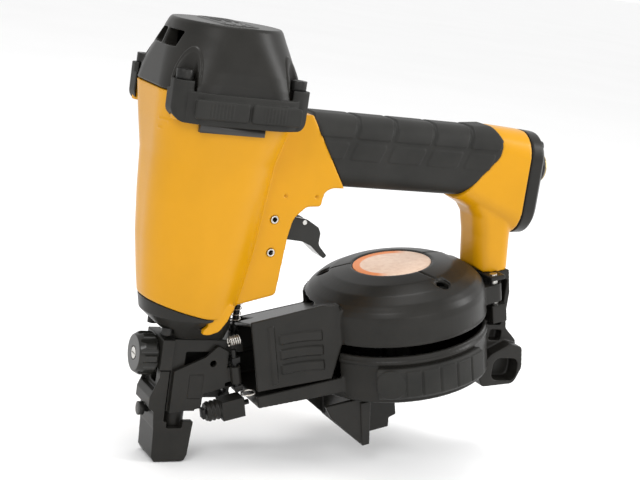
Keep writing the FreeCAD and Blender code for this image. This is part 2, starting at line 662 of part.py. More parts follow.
def make_nose():
    """Driver guide below the barrel, with the mount that bolts to the casting."""
    mount = new_body("nose_mount")
    loft(mount, "XY", [
        ("76.5", rounded_box("-9", "24", "-13", "13", "7")),
        ("84", rounded_box("-19", "27", "-20", "20", "16")),
        ("barrel_foot_z - 2", rounded_square("27.5", "27")),
        ("100", rounded_square("29.2", "28.5")),
    ])
    pocket(mount, "XZ", [[("60", "barrel_foot_z - 0.3"), ("3", "barrel_foot_z - 0.3"), ("-50", "104.2"),
                          ("-50", "120"),
                          ("60", "120")]], "90")
    pocket(mount, "XY", [[("circle"), "0", "0", "sleeve_out_r + 0.3"]], "20", "barrel_foot_z + 9.7")
    pocket(mount, "XY", [[("circle"), "0", "0", "blade_r + 0.1"]], "80", "85")
    for spot_y in ("-12.5", "12.5"):
        pocket(mount, "XY", [[("circle"), "-14.5", spot_y, "4.2"]], "14", "76.6")
    for side in ("23.6", "-23.6"):
        pocket(mount, "XZ", [TONGUE_ROOM], "5.6", side)
    core = new_body("driver_guide")
    pad(core, "XZ", [NOSE_CORE], "core_half * 2")
    revolve(core, [("0", "tip_foot_z"), ("tip_r - 1", "tip_foot_z"), ("tip_r", "tip_foot_z + 1"),
                   ("tip_r", "40"),
                   ("0", "40")])
    pocket(core, "XY", [[("circle"), "0", "0", "blade_r + 0.1"]], "120", "40")
    pocket(core, "XZ", [[("0", "34"), ("12", "45.5"), ("60", "50"), ("60", "69"), ("0", "68")]],
           "core_half + blade_r", "(core_half - blade_r) / 2 + 0.3")
    pocket(core, "XZ", [[("10.7", "47.1"), ("35", "53"), ("32.9", "61.8"), ("8.6", "55.8")]], "20", "-10")
    pocket(core, "XY", [rounded_box("trip_x - 2.6", "trip_x + 12", "trip_y - 2.4", "trip_y + 2.4", "1")],
           "60", "70")


TONGUE_ROOM = [("1.2", "103"), ("22.5", "103"), ("18.8", "91"), ("14", "83.6"), ("7", "81.2"),
               ("-4", "81.2"),
               ("4.6", "88.4")]


def make_nose_screws():
    """Two socket screws in the mount's front recesses, up into the casting's foot."""
    screws = [cut(rod("3.2", "4.3", ("-14.5", y, "79.3")), hexagon("1.6", "2.5", ("-14.5", y, "79.3")))
              for y in ("-12.5", "12.5")]
    keep("nose_screws", group(*screws))


def make_contact_trip():
    """Foot that is pressed on the work, its column, and the arm up to the trigger."""
    foot = new_body("contact_foot")
    pad(foot, "XZ", [[("foot_front_x", "3"), ("foot_front_x + 2", "0"), ("foot_rear_x - 3", "0", "2"),
                      ("foot_rear_x - 1.3", "4"), ("foot_rear_x", "foot_height"),
                      ("foot_front_x - 1", "foot_height")]],
        "foot_half * 2")
    pad(foot, "XZ", [[("foot_front_x - 1", "foot_height - 4"), ("column_rear_x", "foot_height - 4"),
                      ("column_rear_x", "column_top_z"), ("-14.9", "column_top_z"), ("-14.9", "52"),
                      ("column_front_x", "40"), ("column_front_x", "34"), ("foot_front_x - 2", "31")]],
        "foot_half * 2 - 0.4")
    pocket(foot, "XY", [[("circle"), "0", "0", "tip_r + 0.4"]], "36", "26")
    pocket(foot, "XY", [[("circle"), "0", "0", "nail_exit_r"]], "30", "0")
    pocket(foot, "XY", [rounded_box("column_rear_x + 0.5", "foot_rear_x + 5", "-7.6", "7.6", "0.5")], "24",
           "foot_height + 6")
    pocket(foot, "XZ", [[("-7", "21"), ("3", "21"), ("3", "30"), ("-7", "30")]], "40")
    pocket(foot, "YZ", [rounded_box("-4.6", "4.6", "47", "column_top_z + 4", "2")], "30",
           "column_front_x + 3")
    pocket(foot, "YZ", [rounded_box("-11.2", "11.2", "44", "column_top_z + 4", "1")], "10", "-19.4")
    pocket(foot, "YZ", [[("circle"), "0", "29.5", "2.25"]], "12", "-19.5")
    pocket(foot, "YZ", [[("circle"), "0", "29.5", "4.35"]], "4", "-20.5")
    keep("guide_rivet", join(rod("4.1", "3", ("-21.6", "0", "29.5"), "X"),
                             rod("2.2", "6", ("-20", "0", "29.5"), "X")))
    arm = join(
        block(("column_rear_x - 5", "foot_half - 0.1", "31.5"),
              ("column_rear_x - 0.4", "foot_half + 2.4", "52")),
        block(("column_rear_x - 5", "foot_half - 0.1", "31.5"), ("trip_x + 2", "foot_half + 2.4", "37")),
        block(("trip_x - 2", "trip_y - 2", "31.5"), ("trip_x + 2", "foot_half + 2.4", "37")),
        rod("trip_rod_r", "trip_top_z - 37", ("trip_x", "trip_y", "37")),
        rod("3.6", "3", ("trip_x", "trip_y", "77.5")),
    )
    keep("trip_arm", arm)
    coil("trip_spring", "2.8", "0.4", "80.6", "101.5", 6, at_x="trip_x", at_y="trip_y")


def make_depth_adjuster():
    """Bracket over the column, knob with its shaft, and the stop that the knob raises and lowers."""
    shell = block(("bracket_front_x", "-14.1", "bracket_foot_z"), ("-8.6", "14.1", "bracket_top_z"))
    room = block(("bracket_front_x + 1", "-12.9", "bracket_foot_z - 2"),
                 ("-7", "12.9", "bracket_top_z - 2.2"))
    hole = rod("knob_shaft_r + 0.05", "6", ("bracket_front_x - 3", "0", "knob_z"), "X")
    keep("depth_bracket", cut(shell, room, hole))
    knob = new_body("depth_knob")
    revolve(knob, [("0", "0"), ("knob_r - 1.5", "0"), ("knob_r", "2"), ("knob_r", "knob_depth - 3.5"),
                   ("knob_r - 2", "knob_depth"), ("0", "knob_depth")])
    for step in range(10):
        turn = math.radians(step * 36)
        notch_x, notch_y = 14.6 * math.cos(turn), 14.6 * math.sin(turn)
        pocket(knob, "XY", [[("circle"), f"{notch_x:.3f}", f"{notch_y:.3f}", "3"]], "40")
    pad(knob, "XY", [[("circle"), "0", "0", "knob_shaft_r"]], "6.5", "-3")
    pocket(knob, "XY", [[("circle"), "0", "0", "4"]], "3", "knob_depth")
    knob.Placement = FreeCAD.Placement(V(number("knob_rear_x"), 0, number("knob_z")),
                                       FreeCAD.Rotation(V(0, 1, 0), -90))
    slot = block(("knob_rear_x - knob_depth - 1", "-3", "knob_z - 0.4"),
                 ("knob_rear_x - knob_depth + 0.5", "3", "knob_z + 0.4"))
    keep("knob_screw", cut(rod("3.6", "1.6", ("knob_rear_x - knob_depth - 0.1", "0", "knob_z"), "X"), slot))
    keep("depth_stop", join(
        block(("-14.6", "-11.5", "66.8"), ("-9.5", "-4.8", "71.5")),
        block(("-14.6", "4.8", "66.8"), ("-9.5", "11.5", "71.5")),
        block(("-14.6", "-11.5", "69.6"), ("-9.5", "11.5", "71.5")),
    ))


def make_nose_door():
    """Side plate that swings open to the nail channel, on its slanted pin, with the latch below."""
    door = new_body("nose_door")
    thick = "door_face_y - door_back_y"
    middle = "(door_face_y + door_back_y) / 2"
    pad(door, "XZ", [[("door_front_x", "31"), ("12.5", "34"), ("13", "43"), ("26.4", "46.9", "1"),
                      ("26.2", "69.5", "2"),
                      ("19", "73", "2"), ("12", "66"), ("door_front_x", "57")]], thick, middle)
    pocket(door, "XZ", [rounded_box("3", "12", "40", "55", "0.8")], "1.6", "door_face_y")
    pocket(door, "XZ", [[("circle"), "17", "62", "2"]], "12", middle)
    PIECES.pop("nose_door")
    door.Label = "door_plate"
    spine = rod("3.2", "11", ("0", "0", "-5.5"))
    hole = rod("1.55", "40", ("0", "0", "-20"))
    strap = block(("-6", "1.6", "-4.5"), ("0", "4.2", "4.5"))
    knuckle = cut(join(spine, strap), hole)
    knuckle.Placement = hinge_home()
    keep("nose_door", join(door, knuckle))
    ears = [block(("-2", "-2", foot), ("3", "4.6", top)) for foot, top in (("7.5", "11"), ("-10", "-7"))]
    keep("door_hinge_pin", join(rod("1.5", "27", ("0", "0", "-11")), *ears), hinge_home())


def hinge_home():
    """Middle of the nose door's hinge pin, which leans with the magazine."""
    turn = FreeCAD.Rotation(V(0, 1, 0), -number("mag_tilt"))
    return FreeCAD.Placement(V(number("door_hinge_x"), -number("door_hinge_y"), 56), turn)


# ---------------------------------------------------------------- magazine, in its own tilted frame

PAD_START = 231
PAD_SWEEP = 71
COVER_SCREWS = (("12.5", "-42"), ("-37", "23"), ("44", "9"))


def turned_home(degrees):
    """The magazine's placement, turned about its own axis."""
    return magazine_home().multiply(FreeCAD.Placement(V(0, 0, 0), FreeCAD.Rotation(V(0, 0, 1), degrees)))


def make_magazine_base():
    """Round tray with the far wall and the neck that leads the nails to the nose."""
    base = new_body("magazine_base", magazine_home())
    revolve(base, [
        ("0", "drum_floor"), ("drum_r - 2", "drum_floor"), ("drum_r", "drum_floor + 2"),
        ("drum_r", "drum_rim_near"),
        ("drum_r - drum_wall", "drum_rim_near"), ("drum_r - drum_wall", "drum_floor + 2.8"),
        ("0", "drum_floor + 2.8"),
    ])
    revolve(base, [
        ("drum_r - drum_wall", "drum_rim_near - 1"), ("drum_r", "drum_rim_near - 1"),
        ("drum_r", "drum_rim_far"),
        ("drum_r - drum_wall", "drum_rim_far"),
    ], angle=179)
    pad(base, "XY", [[("neck_front", "-24"), ("-50", "-neck_half"), ("-50", "neck_half"),
                      ("neck_front", "24")]],
        "3", "neck_floor")
    pad(base, "XZ", [[("neck_front", "neck_floor"), ("-49", "neck_floor"), ("-49", "neck_far_top"),
                      ("neck_front", "neck_far_top")]], "2.5", "-neck_half + 1.3")
    pad(base, "XZ", [[("neck_front", "neck_floor - 1.5"), ("-49", "neck_floor - 5"),
                      ("-49", "neck_floor + 5"),
                      ("neck_front", "neck_floor + 6")]], "2.5", "neck_half - 1.3")
    pad(base, "YZ", [[("13", "neck_floor"), ("neck_half", "neck_floor"), ("neck_half", "neck_far_top"),
                      ("13", "neck_far_top")]], "3", "neck_front + 1.5")
    pad(base, "YZ", [rounded_box("-24", "14", "neck_floor - 1.5", "neck_floor + 5", "1")], "3",
        "neck_front + 1.5")
    pocket(base, "XZ", [[("-75", "neck_floor + 1.5"), ("-35", "neck_floor + 1.5"), ("-35", "-5"),
                         ("-75", "-5")]],
           "neck_half * 2 - 5")
    for side in ("20.6", "-20.6"):
        pad(base, "XZ", [rounded_box("-46", "8", "drum_floor - 3", "drum_floor + 1", "1")], "2", side)
    keep("centre_post", rod("core_post_r", "46", ("0", "0", "drum_floor + 2.8")), magazine_home())
    for label, start in (("near_pad", PAD_START), ("far_pad", 360 - PAD_START - PAD_SWEEP)):
        rubber = new_body(label, turned_home(start))
        revolve(rubber, [("drum_r + 0.05", "-68"), ("drum_r + 2.5", "-68"), ("drum_r + 4", "-66"),
                         ("drum_r + 4", "-50"), ("drum_r + 2.5", "-48"),
                         ("drum_r + 0.05", "-48")], angle=PAD_SWEEP)


def make_nail_platform():
    """Height-adjusting platform that carries the coil of nails."""
    plate = new_body("nail_platform", magazine_home())
    revolve(plate, [
        ("core_post_r + fit_gap", "-68.5"), ("platform_r", "-68.5"), ("platform_r", "-66"), ("11", "-66"),
        ("9", "-64"), ("9", "-44"), ("core_post_r + fit_gap", "-44"),
    ])


def make_magazine_cover():
    """Domed cover with the near skirt and the neck's side wall, on a hinge at the rear."""
    cover = new_body("magazine_cover", magazine_home())
    revolve(cover, [
        ("0", "-3.6"), ("27", "-3"), ("37", "-5"), ("45.5", "-8.8"), ("51", "-12.8"), ("52.5", "cover_rim"),
        ("56.2", "cover_rim"), ("53", "-10.6"), ("47", "-6.2"), ("38", "-2.4"), ("crown_r", "0"),
        ("label_r + 0.6", "0"), ("label_r", "-1.2"), ("0", "-1.2"),
    ])
    revolve(cover, [
        ("52.5", "-13.6"), ("55.6", "-13.6"), ("57.4", "-17"), ("cover_r", "-21"), ("cover_r", "cover_edge"),
        ("cover_r - 2.6", "cover_edge"), ("cover_r - 2.6", "-21"), ("54.4", "-17"),
    ], angle=178, backwards=True)
    pad(cover, "XZ", [[("neck_front + 0.3", "neck_top - 1"), ("-60", "neck_top"), ("-49.5", "neck_top - 4"),
                       ("-49.5", "cover_edge + 0.5"), ("-58.5", "neck_edge - 3"),
                       ("neck_front + 0.3", "neck_edge")]],
        "2.5", "neck_half - 1.3")
    slope = [("-neck_half + 0.1", "neck_top - 1.4"), ("23.6", "neck_far_top + 0.4"),
             ("23.6", "neck_far_top - 2.2"),
             ("-neck_half + 0.1", "neck_top - 3.2")]
    pad(cover, "YZ", [slope], "45", "-72.5")
    pad(cover, "YZ", [[slope[0], ("3", "-17.2"), ("3", "-19.9"), slope[3]]], "13", "-101.2")
    for spot_a, spot_y in COVER_SCREWS:
        pad(cover, "XY", [[("circle"), spot_a, spot_y, "5.5"]], "7", "-11.5")
    for spot_a, spot_y in COVER_SCREWS:
        pocket(cover, "XY", [[("circle"), spot_a, spot_y, "3.8"]], "14", "-4")
    pad(cover, "XY", [[("51", "-26"), ("66.5", "-24.5", "4.4"), ("66.5", "-15.6", "4.4"), ("55", "-15.6")]],
        "12", "-27")
    pocket(cover, "XY", [[("circle"), "cover_hinge_a", "-cover_hinge_y", "cover_pin_r + fit_gap"]], "40",
           "-27")
    keep("cover_label", rod("label_r - 0.4", "0.6", ("0", "0", "-1.2")), magazine_home())
    heads = [cut(rod("3.2", "2.2", (a, y, "-11")), hexagon("1.6", "2", (a, y, "-10"))) for a,
             y in COVER_SCREWS]
    keep("cover_screws", group(*heads), magazine_home())


def make_rear_bracket(housing):
    """Bracket from the post down to the magazine's rear, with the cover's hinge ears."""
    body = new_body("rear_bracket")
    pad(body, "XZ", [[("195.3", "124.2"), ("rear_seam_x + 0.5", "127.4"), ("217", "112", "5"),
                      ("217", "99", "6"),
                      ("219", "88", "3"), ("228", "80", "3"), ("230.5", "64", "6"), ("226", "53", "6"),
                      ("205", "50.5", "3"), ("207.8", "67.5"), ("201.2", "96.6")]], "post_half * 2")
    pad(body, "XZ", [[("206", "73"), ("219", "80", "3"), ("228", "78", "3"), ("230.5", "64", "6"),
                      ("226", "53", "6"), ("202", "50.5", "3"), ("196", "63")]], "48")
    for side in ("-1", "1"):
        offset = f"{side} * (post_half - 2.5)"
        for low_x, high_x, low_z, high_z in (("202", "213.5", "104", "121"), ("203.5", "214.5", "90", "97"),
                                             ("207", "216", "79.5", "86.5")):
            pocket(body, "XZ", [rounded_box(low_x, high_x, low_z, high_z, "1.5")], "8", offset)
        pocket(body, "XZ", [rounded_box("208", "227", "55", "70", "5")], "14", f"{side} * 20")
    tray = rod("drum_r + 0.05", "60", ("0", "0", "drum_floor - 0.05"))
    dome = rod("cover_r + 0.6", "60", ("0", "0", "-41"))
    room = join(tray, dome)
    room.Placement = magazine_home()
    PIECES.pop("rear_bracket")
    body.Label = "bracket_blank"
    ears = [block(("57.5", "-25", foot), ("68", "-10", top)) for foot,
            top in (("-47", "-35"), ("-18.5", "-15.5"))]
    ear_pair = join(*ears)
    ear_pair.Placement = magazine_home()
    hole = group(rod("cover_pin_r + 0.03", "60", ("cover_hinge_a", "-cover_hinge_y", "-55")))
    hole.Placement = magazine_home()
    keep("rear_bracket", cut(join(body, ear_pair), room, hole, housing))
    pin = rod("cover_pin_r", "31", ("cover_hinge_a", "-cover_hinge_y", "-46"))
    keep("cover_hinge_pin", pin, magazine_home())


def make_shingle_guide():
    """Sliding gauge under the tray, with its lock screw."""
    guide = new_body("shingle_guide", magazine_home())
    pad(guide, "XZ", [[("-43", "-104"), ("-38", "-104"), ("-35", "drum_floor - 3.5"),
                       ("-42", "drum_floor - 3.5")]], "60")
    pad(guide, "XZ", [[("-38", "-101"), ("-19", "-101"), ("-18", "-95", "1"), ("-13", "-94"), ("-13", "-83"),
                       ("-22", "-83"), ("-22", "drum_floor - 0.6"), ("-38", "drum_floor - 0.6")]], "38")
    for side in ("27", "-27"):
        pad(guide, "XZ", [[("-65", "drum_floor - 1"), ("-62", "-81"), ("-44", "-102"), ("-39", "-104"),
                           ("-39", "drum_floor - 1")]], "3", side)
    pocket(guide, "XY", [[("circle"), "-30", "0", "2.1"]], "12", "-101")
    keep("guide_screw", join(rod("4.5", "4", ("-30", "0", "-105.3")), rod("2", "5", ("-30", "0", "-102"))),
         magazine_home())


def make_feed():
    """Air-driven feed: cylinder, end plug, hollow piston with its pawl, and the spring inside."""
    middle_y, middle_m = "20", "-42"
    outer = rod("8", "29", ("-139", middle_y, middle_m), "X")
    bore = rod("5.55", "30", ("-136.5", middle_y, middle_m), "X")
    slot = block(("-138.5", "5", "-45.6"), ("-117", "20", "-38.4"))
    bridge = block(("-139", "11.5", "-50"), ("-112", "15", "-34"))
    keep("feed_cylinder", cut(join(outer, bridge), bore, slot), magazine_home())
    piston = cut(rod("5.5", "15", ("-136", middle_y, middle_m), "X"),
                 rod("3.4", "13.2", ("-134", middle_y, middle_m), "X"))
    pawl = join(
        block(("-136", "4.2", "-44.9"), ("-129", "15", "-39.1")),
        block(("-138", "0.4", "-44.9"), ("-129", "4.6", "-39.1")),
    )
    keep("feed_pawl", cut(join(piston, pawl), rod("3.4", "13.2", ("-134", middle_y, middle_m), "X")),
         magazine_home())
    keep("feed_plug", rod("5.5", "2.4", ("-112.5", middle_y, middle_m), "X"), magazine_home())
    coil("feed_spring", "2.6", "0.4", "-122", "-112.6", 5, at_x=middle_m, at_y=middle_y, axis="X",
         home=magazine_home())


def make_door_latch():
    """Ribbed latch barrel under the nose door, on its pin, with the wire ring behind it."""
    middle_y, middle_m = "-13.5", "-63"
    barrel = rod("5.6", "9", ("-137.5", middle_y, middle_m), "X")
    ribs = [ring("5.4", "0.9", (at, middle_y, middle_m), "X") for at in ("-135.5", "-132.8", "-130.1")]
    lever = block(("-128.5", "-19.6", "-69.4"), ("-114", "-8.5", "-57.2"))
    hole = rod("1.65", "40", ("-142", middle_y, middle_m), "X")
    keep("door_latch", cut(join(barrel, lever, *ribs), hole), magazine_home())
    ear = block(("-140.2", "-17", "-66"), ("-138.4", "-11.4", "-60"))
    keep("latch_pin", join(rod("1.6", "30.5", ("-140", middle_y, middle_m), "X"), ear), magazine_home())
    keep("latch_ring", ring("4.2", "0.5", ("-112.4", "-22.6", "-53.4")), magazine_home())
    coil("latch_spring", "2.6", "0.45", "-121", "-113.5", 5, at_x="-19.5", at_y="-20", axis="X",
         home=magazine_home())


# ---------------------------------------------------------------- run

fill_sheet()
HOUSING = make_housing(make_grip())
make_cap()
make_cap_gasket()
make_cap_screws()
make_bumpers()
make_name_plates(HOUSING)
make_cylinder()
make_drive()
make_head_valve()
make_end_cap()
make_trigger()
make_nose()
make_nose_screws()
make_contact_trip()
make_depth_adjuster()
make_nose_door()
make_magazine_base()
make_nail_platform()
make_magazine_cover()
make_rear_bracket(HOUSING)
make_shingle_guide()
make_feed()
make_door_latch()
DOC.recompute()

os.makedirs("parts", exist_ok=True)
BROKEN = [thing.Name for thing in DOC.Objects if "Invalid" in thing.State or "Error" in thing.State]
for label, thing in PIECES.items():
    if thing.Shape.isNull() or not thing.Shape.isValid() or not thing.Shape.Solids:
        BROKEN.append(label)
if BROKEN:
    raise SystemExit("failed: " + ", ".join(BROKEN))
for label, thing in PIECES.items():
    thing.Shape.exportStep(f"parts/{label}.step")
    print(label, round(thing.Shape.Volume / 1000, 2), "cm3,", len(thing.Shape.Solids), "solids")
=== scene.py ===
"""Looks of a coil roofing nailer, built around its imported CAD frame. Lengths in the code are millimetres."""
import json
import math

import bmesh
import bpy
import numpy as np
from mathutils import Matrix, Vector


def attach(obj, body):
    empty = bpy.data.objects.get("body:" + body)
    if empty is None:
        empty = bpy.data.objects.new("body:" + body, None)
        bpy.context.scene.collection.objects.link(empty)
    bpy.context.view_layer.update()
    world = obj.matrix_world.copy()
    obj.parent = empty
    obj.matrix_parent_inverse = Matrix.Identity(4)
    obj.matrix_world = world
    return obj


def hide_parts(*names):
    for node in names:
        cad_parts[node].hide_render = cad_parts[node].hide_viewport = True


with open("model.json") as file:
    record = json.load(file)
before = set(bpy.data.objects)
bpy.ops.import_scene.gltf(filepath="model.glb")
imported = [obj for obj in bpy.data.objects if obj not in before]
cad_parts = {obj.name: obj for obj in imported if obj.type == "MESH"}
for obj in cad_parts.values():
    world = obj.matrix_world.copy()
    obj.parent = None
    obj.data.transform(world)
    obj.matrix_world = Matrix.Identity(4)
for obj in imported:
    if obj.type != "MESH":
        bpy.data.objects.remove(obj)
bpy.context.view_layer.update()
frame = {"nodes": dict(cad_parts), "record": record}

MM = 0.001
WELD = 0.001
BODY_OF = {node: body for body, nodes in frame["record"]["behaviour"]["bodies"].items() for node in nodes}
SLOT_OF = {part["node"]: part["material_slot"] for part in frame["record"]["subparts"]}

# The magazine's own frame: a along its floor to the rear, y across, m up the coil's axis.
TILT = math.radians(13.75)
MAG_ORIGIN = np.array([134.7, 0.0, 125.3])
MAG_A = np.array([math.cos(TILT), 0.0, math.sin(TILT)])
MAG_M = np.array([-math.sin(TILT), 0.0, math.cos(TILT)])

# The cap's four screws stand at these places either side of the shell's middle.
SHELL_MID = 2.5
SCREW_X = 34.4
SCREW_Y = 34.0


# ---------------------------------------------------------------- numbers

def smooth(low, high, value):
    """0 below low, 1 above high, with a soft change between."""
    share = np.clip((value - low) / (high - low), 0.0, 1.0)
    return share * share * (3.0 - 2.0 * share)


def band(low, high, soft, value):
    """1 between low and high, falling to 0 over soft outside them."""
    return smooth(low - soft, low, value) * (1.0 - smooth(high, high + soft, value))


def plateau(across, along, box, corner, soft):
    """1 inside a round-cornered box (low across, high across, low along, high along), 0 outside it."""
    mid_a, mid_b = (box[0] + box[1]) / 2, (box[2] + box[3]) / 2
    half_a, half_b = (box[1] - box[0]) / 2, (box[3] - box[2]) / 2
    out_a = np.maximum(np.abs(across - mid_a) - half_a + corner, 0.0)
    out_b = np.maximum(np.abs(along - mid_b) - half_b + corner, 0.0)
    return 1.0 - smooth(-soft, 0.0, np.hypot(out_a, out_b) - corner)


def box_about(mid_a, mid_b, half_a, half_b):
    """A box for plateau, from its middle and its half sizes."""
    return mid_a - half_a, mid_a + half_a, mid_b - half_b, mid_b + half_b


def in_magazine(spots):
    """Points of the frame, in mm, as a, y and m of the magazine."""
    away = spots - MAG_ORIGIN
    return away @ MAG_A, away[:, 1], away @ MAG_M


# ---------------------------------------------------------------- meshes

def new_object(name, data):
    piece = bpy.data.objects.new(name, data)
    bpy.context.scene.collection.objects.link(piece)
    return piece


def mesh_from(name, spots, faces):
    """A new object from corner points in mm and faces."""
    mesh = bpy.data.meshes.new(name)
    mesh.from_pydata([tuple(MM * float(v) for v in spot) for spot in spots], [], faces)
    form = bmesh.new()
    form.from_mesh(mesh)
    bmesh.ops.recalc_face_normals(form, faces=form.faces)
    form.to_mesh(mesh)
    form.free()
    return new_object(name, mesh)


def copy_of(name, node):
    """An object holding a welded copy of a CAD node."""
    form = bmesh.new()
    form.from_mesh(frame["nodes"][node].data)
    bmesh.ops.remove_doubles(form, verts=form.verts, dist=WELD * MM)
    mesh = bpy.data.meshes.new(name)
    form.to_mesh(mesh)
    form.free()
    return new_object(name, mesh)


def settle(piece):
    """Replaces the object's mesh with what its modifiers make."""
    graph = bpy.context.evaluated_depsgraph_get()
    mesh = bpy.data.meshes.new_from_object(piece.evaluated_get(graph))
    piece.modifiers.clear()
    piece.data = mesh


def remesh(piece, voxel):
    """Even mesh of one skin."""
    step = piece.modifiers.new("voxels", "REMESH")
    step.mode = "VOXEL"
    step.voxel_size = voxel * MM
    settle(piece)


def soften(piece, factor, rounds):
    """Moves each point towards its neighbours, which rounds the edges."""
    step = piece.modifiers.new("round", "SMOOTH")
    step.factor = factor
    step.iterations = rounds
    settle(piece)


def sculpt(piece, height):
    """Moves each point along its normal by height(spots, normals), in mm."""
    mesh = piece.data
    spots = np.zeros(len(mesh.vertices) * 3)
    mesh.vertices.foreach_get("co", spots)
    normals = np.zeros(len(mesh.vertices) * 3)
    mesh.vertex_normals.foreach_get("vector", normals)
    spots = spots.reshape(-1, 3) / MM
    normals = normals.reshape(-1, 3)
    moved = spots + normals * height(spots, normals)[:, None]
    mesh.vertices.foreach_set("co", (moved * MM).ravel())
    mesh.update()


def thin(piece, ratio):
    """Keeps this share of the faces."""
    step = piece.modifiers.new("thin", "DECIMATE")
    step.ratio = ratio
    settle(piece)


def shade(piece):
    for face in piece.data.polygons:
        face.use_smooth = True


def dress(piece, material):
    piece.data.materials.clear()
    piece.data.materials.append(material)


def stand_for(piece, *nodes):
    """Puts a finished piece in the place of CAD nodes, with their body and finish."""
    dress(piece, MATERIALS[SLOT_OF[nodes[0]]])
    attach(piece, BODY_OF[nodes[0]])
    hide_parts(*nodes)


def cast(name, node, voxel, rounds, height=None, keep=1.0):
    """A softened, detailed shell that stands for one CAD node; keep is the share of its faces that stay."""
    piece = copy_of(name, node)
    remesh(piece, voxel)
    soften(piece, factor=0.5, rounds=rounds)
    if height:
        sculpt(piece, height)
        soften(piece, factor=0.4, rounds=1)
    if keep < 1.0:
        thin(piece, keep)
    shade(piece)
    stand_for(piece, node)


# ---------------------------------------------------------------- materials

def node_of(tree, kind, inputs=None, **settings):
    """A new shader node with some settings, and with values in some of its inputs."""
    node = tree.nodes.new(kind)
    for key, value in settings.items():
        setattr(node, key, value)
    for key, value in (inputs or {}).items():
        node.inputs[key].default_value = value
    return node


def ramp(tree, source, stops):
    """Colour ramp over a grey source; stops are two pairs of place and colour."""
    node = node_of(tree, "ShaderNodeValToRGB")
    for mark, (place, colour) in zip(node.color_ramp.elements, stops):
        mark.position = place
        mark.color = (*colour, 1.0)
    tree.links.new(source, node.inputs["Fac"])
    return node.outputs["Color"]


def noise(tree, scale, detail, stretch):
    """Solid noise over the frame's own coordinates; scale is in features per metre."""
    place = node_of(tree, "ShaderNodeTexCoord")
    lay = node_of(tree, "ShaderNodeMapping", {"Scale": stretch})
    spread = node_of(tree, "ShaderNodeTexNoise", {"Scale": scale, "Detail": detail, "Roughness": 0.6})
    tree.links.new(place.outputs["Object"], lay.inputs["Vector"])
    tree.links.new(lay.outputs["Vector"], spread.inputs["Vector"])
    return spread.outputs["Fac"]


def fade(tree, source, start, end):
    """0 where the source is at start or before it, 1 where it is at end or past it."""
    node = node_of(tree, "ShaderNodeMapRange", {"From Min": start, "From Max": end})
    tree.links.new(source, node.inputs["Value"])
    return node.outputs["Result"]


def finish(name, dark, light, rough, metallic=0.0, patch=60.0, grain=3000.0, bump=0.02, depth=0.2,
           coat=0.0, specular=0.5, stretch=(1, 1, 1)):
    """Material with cloudy colour between dark and light, roughness between two values, and fine grain.

    patch and grain are the noise scales of the clouds and of the grain; depth is the grain's depth in mm.
    """
    material = bpy.data.materials.new(name)
    material.use_nodes = True
    tree = material.node_tree
    shader = tree.nodes["Principled BSDF"]
    shader.inputs["Metallic"].default_value = metallic
    shader.inputs["Coat Weight"].default_value = coat
    shader.inputs["Coat Roughness"].default_value = 0.2
    shader.inputs["Specular IOR Level"].default_value = specular
    cloud = noise(tree, patch, detail=4.0, stretch=stretch)
    fine = noise(tree, grain, detail=3.0, stretch=stretch)
    smoothest, roughest = rough
    tree.links.new(ramp(tree, cloud, [(0.3, dark), (0.7, light)]), shader.inputs["Base Color"])
    tree.links.new(ramp(tree, fine, [(0.25, (smoothest,) * 3), (0.75, (roughest,) * 3)]),
                   shader.inputs["Roughness"])
    relief = node_of(tree, "ShaderNodeBump", {"Strength": bump, "Distance": depth * MM})
    tree.links.new(fine, relief.inputs["Height"])
    tree.links.new(relief.outputs["Normal"], shader.inputs["Normal"])
    return material


def make_label():
    """Plain cream disc with an orange band round part of its rim."""
    band_start, band_full = 19.8, 20.4
    band_side = (0.75, -0.65, 0.0)
    band_end_fade = 4.0
    orange = (0.78, 0.24, 0.06, 1.0)

    material = finish("label_print", (0.72, 0.50, 0.37), (0.84, 0.64, 0.50), (0.35, 0.5), patch=260.0,
                      bump=0.05)
    tree = material.node_tree
    link = tree.links.new
    colour = tree.nodes["Principled BSDF"].inputs["Base Color"]
    cream = colour.links[0].from_socket

    # Places on the disc, seen down the coil's axis.
    place = node_of(tree, "ShaderNodeTexCoord")
    magazine = {"Location": Vector(MAG_ORIGIN * MM), "Rotation": (0.0, -TILT, 0.0)}
    turn = node_of(tree, "ShaderNodeMapping", magazine, vector_type="TEXTURE")
    split = node_of(tree, "ShaderNodeSeparateXYZ")
    flat = node_of(tree, "ShaderNodeCombineXYZ")
    link(place.outputs["Object"], turn.inputs["Vector"])
    link(turn.outputs["Vector"], split.inputs["Vector"])
    link(split.outputs["X"], flat.inputs["X"])
    link(split.outputs["Y"], flat.inputs["Y"])

    reach = node_of(tree, "ShaderNodeVectorMath", operation="LENGTH")
    lean = node_of(tree, "ShaderNodeVectorMath", {1: band_side}, operation="DOT_PRODUCT")
    link(flat.outputs["Vector"], reach.inputs[0])
    link(flat.outputs["Vector"], lean.inputs[0])

    both = node_of(tree, "ShaderNodeMath", operation="MULTIPLY")
    link(fade(tree, reach.outputs["Value"], band_start * MM, band_full * MM), both.inputs[0])
    link(fade(tree, lean.outputs["Value"], band_end_fade * MM, -band_end_fade * MM), both.inputs[1])

    blend = node_of(tree, "ShaderNodeMix", {"B": orange}, data_type="RGBA")
    link(both.outputs["Value"], blend.inputs["Factor"])
    link(cream, blend.inputs["A"])
    link(blend.outputs["Result"], colour)
    return material


